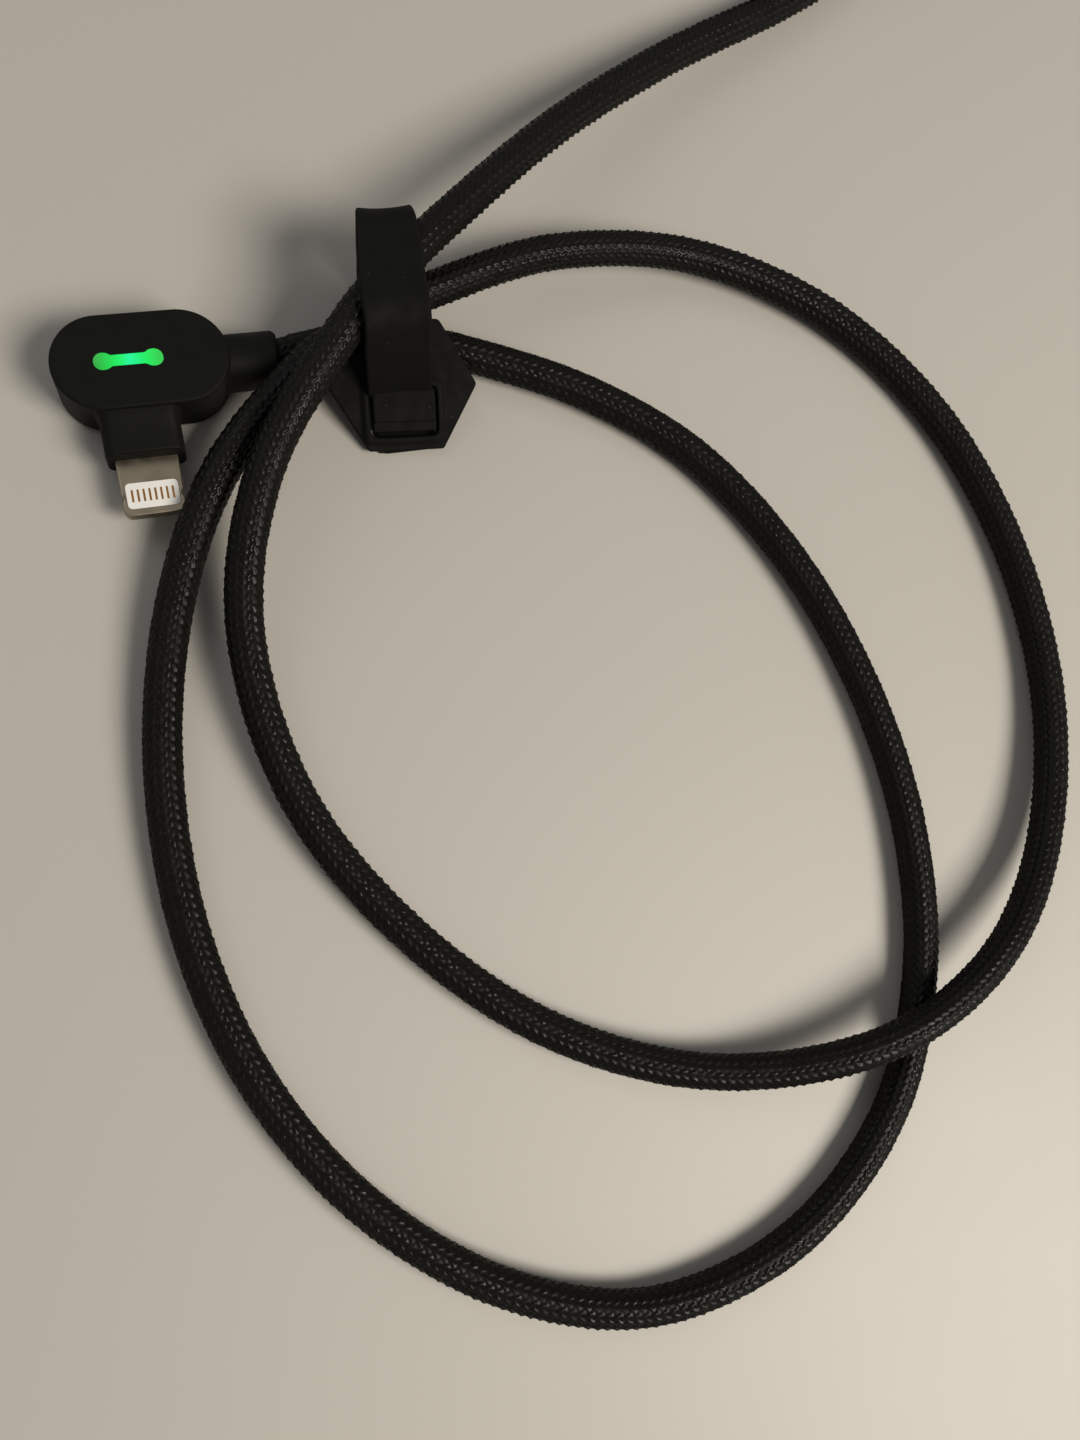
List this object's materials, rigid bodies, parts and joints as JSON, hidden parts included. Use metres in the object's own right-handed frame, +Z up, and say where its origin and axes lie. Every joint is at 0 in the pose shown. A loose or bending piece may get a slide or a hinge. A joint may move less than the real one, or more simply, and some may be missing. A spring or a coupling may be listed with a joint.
{
  "type": "charging cable",
  "caption": "Braided charging cable with a right-angled phone plug, a hexagonal silicone strap round its crossed loops, and a coiled tail to a right-angled charger plug.",
  "frame": {"origin": "on the surface that the phone plug lies on, straight under the point where the tab's axis crosses the cord's axis", "axes": "+X along the cord out of the phone plug, -Y along the plug's tab, +Z up from the surface"},
  "size_m": [0.1362, 0.2263, 0.0158],
  "materials": {
    "head_shell": "fine matte moulded",
    "light_guide": "lit from behind",
    "lamp": "clear resin",
    "circuit_board": "solder mask",
    "chip_black": "moulded",
    "chip_grey": "ceramic",
    "tab_steel": "fine blasted",
    "carrier_white": "satin moulded",
    "contact_gold": "gold plated",
    "collar_black": "satin moulded",
    "crimp_steel": "plain",
    "wire_red": "extruded",
    "wire_black": "extruded",
    "wire_green": "extruded",
    "wire_white": "extruded",
    "braid": "braided, glossy threads",
    "tie_fabric": "woven loop tape",
    "strap_silicone": "soft matte",
    "plug_steel": "bright nickel plated"
  },
  "bodies": {
    "cable": {"head_case": "head_shell", "head_cover": "head_shell", "light_guide": "light_guide", "status_lamps": "lamp", "head_board": "circuit_board", "control_chip": "chip_black", "board_resistors": "chip_grey", "tab_frame": "tab_steel", "contact_carrier": "carrier_white", "contacts_front": "contact_gold", "contacts_back": "contact_gold", "exit_collar": "collar_black", "cord_crimp": "crimp_steel", "wire_red": "wire_red", "wire_black": "wire_black", "wire_green": "wire_green", "wire_white": "wire_white", "cord_tube": "braid", "cord_coil": "braid", "cord_tail": "braid", "coil_tie": "tie_fabric", "strap_base": "strap_silicone", "charger_case": "head_shell", "charger_cover": "head_shell", "charger_shell": "plug_steel", "charger_tongue": "carrier_white", "charger_contacts": "contact_gold", "charger_board": "circuit_board", "charger_resistor": "chip_grey", "charger_collar": "collar_black", "charger_crimp": "crimp_steel", "charger_wire_red": "wire_red", "charger_wire_black": "wire_black", "charger_wire_green": "wire_green", "charger_wire_white": "wire_white"},
    "flap": {"strap_flap": "strap_silicone"}
  },
  "joints": [
    {"name": "strap_open", "type": "hinge", "parent": "cable", "child": "flap", "pos_m": [0.02978, 0.01179, 0.009], "axis": [-1, 0, 0], "range_deg": [0, 100]}
  ]
}
